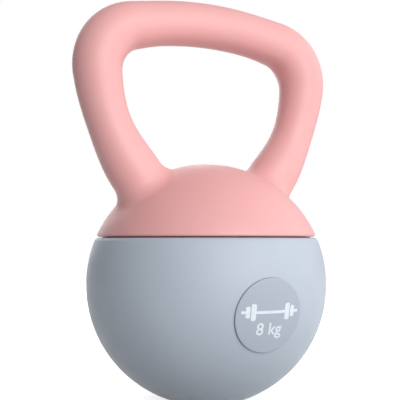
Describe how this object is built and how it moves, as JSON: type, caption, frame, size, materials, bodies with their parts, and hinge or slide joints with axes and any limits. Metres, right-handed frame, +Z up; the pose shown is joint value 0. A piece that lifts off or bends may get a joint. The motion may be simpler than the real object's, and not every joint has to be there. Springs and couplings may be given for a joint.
{
  "type": "kettlebell",
  "caption": "Soft kettlebell: a rigid hollow loop handle and dome in one moulding on a soft sand-filled bowl, with a flat rubber base pad and a raised round front badge.",
  "frame": {"origin": "on the floor, under the middle of the ball", "axes": "+Z up; X along the handle's grip, with the loop in the XZ plane; -Y towards the side that carries the badge"},
  "size_m": [0.2192, 0.186, 0.3065],
  "materials": {
    "handle_plastic": "satin",
    "bowl_vinyl": "matte",
    "badge_vinyl": "matte",
    "seal_rubber": "matte",
    "pad_rubber": "matte",
    "plug_plastic": "satin",
    "plug_foam": "matte",
    "iron_sand": "matte"
  },
  "bodies": {
    "root": {"handle_shell": "handle_plastic", "soft_bowl": "bowl_vinyl", "rim_seal_ring": "seal_rubber", "leg_plug_left": "plug_foam", "leg_plug_right": "plug_foam", "iron_sand_fill": "iron_sand", "fill_plug": "plug_plastic", "fill_plug_washer": "seal_rubber", "base_pad": "pad_rubber", "weight_badge": "badge_vinyl"}
  },
  "joints": []
}
